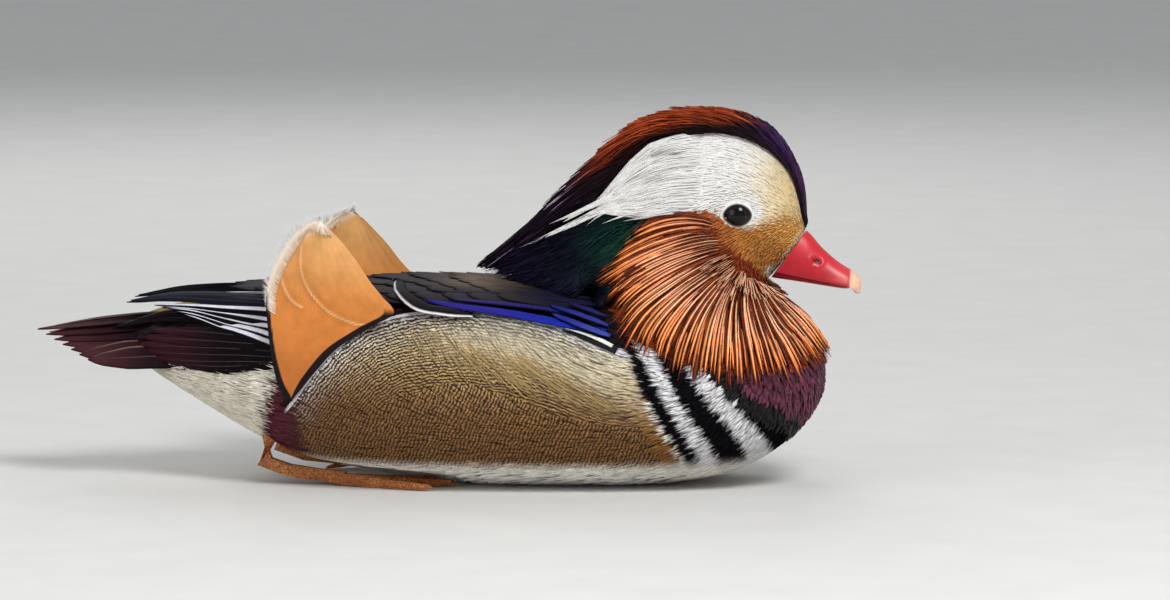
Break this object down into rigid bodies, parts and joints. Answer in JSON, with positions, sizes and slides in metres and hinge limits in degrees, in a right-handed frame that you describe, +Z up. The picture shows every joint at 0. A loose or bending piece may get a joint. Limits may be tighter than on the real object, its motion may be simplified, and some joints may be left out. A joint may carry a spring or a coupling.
{
  "type": "mandarin duck",
  "caption": "Life-size still model of a drake mandarin duck at rest on its belly, with crest, ruff, orange sails, folded wings and tucked webbed feet.",
  "frame": {"origin": "middle of the bird's length and width, on the floor that its belly rests on", "axes": "+X towards the bill, +Y to the bird's left, +Z up"},
  "size_m": [0.3494, 0.1272, 0.1576],
  "materials": {
    "flank": "soft feathers, golden buff with fine dark wavy bars",
    "ruff": "rust orange hackle feathers with pale shafts",
    "crest": "chestnut and dark green plumes beside a white brow",
    "eye": "wet, nearly black",
    "bill": "crimson horn with a pale nail",
    "wing": "glossy blue-black feathers with white edges",
    "sail": "bright orange vane with a dark edge",
    "tail": "maroon-brown feathers over white under-tail feathers",
    "leg": "scaly yellow-orange skin"
  },
  "bodies": {
    "root": {"torso": "flank", "neck": "ruff", "head": "crest", "eye_left": "eye", "eye_right": "eye", "bill_upper": "bill", "bill_lower": "bill", "wing_left": "wing", "wing_right": "wing", "sail_left": "sail", "sail_right": "sail", "tail": "tail", "leg_left": "leg", "leg_right": "leg"}
  },
  "joints": []
}
